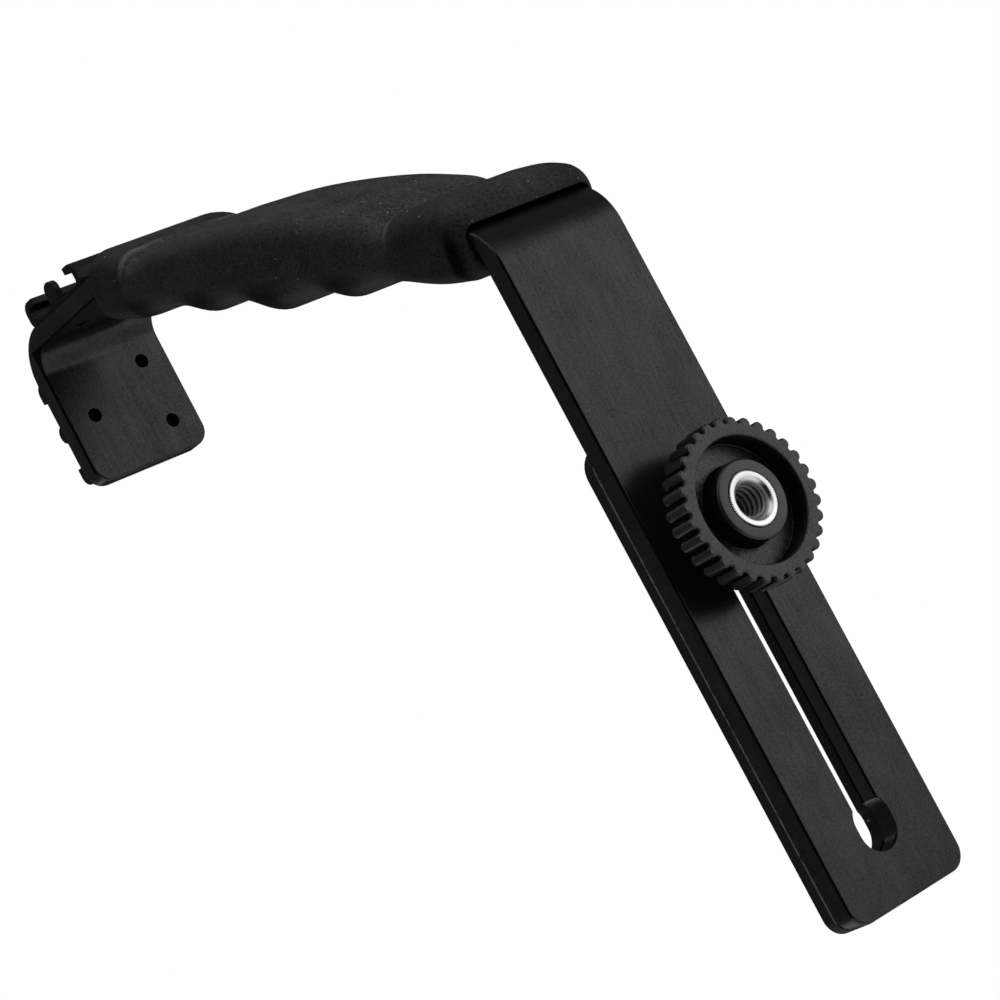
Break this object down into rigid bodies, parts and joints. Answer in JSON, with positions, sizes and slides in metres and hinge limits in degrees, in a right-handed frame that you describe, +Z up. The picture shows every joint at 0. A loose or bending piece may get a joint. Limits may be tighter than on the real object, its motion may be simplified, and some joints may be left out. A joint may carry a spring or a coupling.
{
  "type": "camera flash bracket",
  "caption": "C-shaped flat-bar bracket that holds a camera on a slotted base and a flash in a shoe over its moulded handle.",
  "frame": {"origin": "on the camera screw's axis, where the tripod socket's thread starts under the wheel", "axes": "+X along the base plate away from the handle, +Z up through the camera screw, +Y towards the side where the shoes have their stop"},
  "size_m": [0.1662, 0.0318, 0.1525],
  "materials": {
    "black_bar": "satin black coating with a fine grain",
    "black_shoe": "black, slightly glossier than the bar",
    "pad_rubber": "matt black sheet",
    "grip_rubber": "moulded satin black rubber",
    "wheel_plastic": "moulded black plastic, slightly glossy rim",
    "plated_bush": "bright plated, turned",
    "plated_screw": "bright plated steel",
    "rivet_metal": "black"
  },
  "bodies": {
    "bracket": {"frame_bar": "black_bar", "base_pad": "pad_rubber", "grip_sleeve": "grip_rubber", "side_shoe": "black_shoe", "side_shoe_rivet_1": "rivet_metal", "side_shoe_rivet_2": "rivet_metal", "side_shoe_rivet_3": "rivet_metal", "top_shoe": "black_shoe", "top_shoe_rivet_1": "rivet_metal", "top_shoe_rivet_2": "rivet_metal", "top_shoe_rivet_3": "rivet_metal"},
    "slider": {"slide_washer": "plated_screw"},
    "clamp_screw": {"thumb_wheel": "wheel_plastic", "wheel_insert": "plated_bush", "camera_screw": "plated_screw"}
  },
  "joints": [
    {"name": "slot_slide", "type": "slide", "parent": "bracket", "child": "slider", "axis": [1, 0, 0], "range_m": [-0.0062, 0.0541]},
    {"name": "wheel_spin", "type": "hinge", "parent": "slider", "child": "clamp_screw", "pos_m": [0, 0, 0], "axis": [0, 0, 1], "continuous": true}
  ]
}
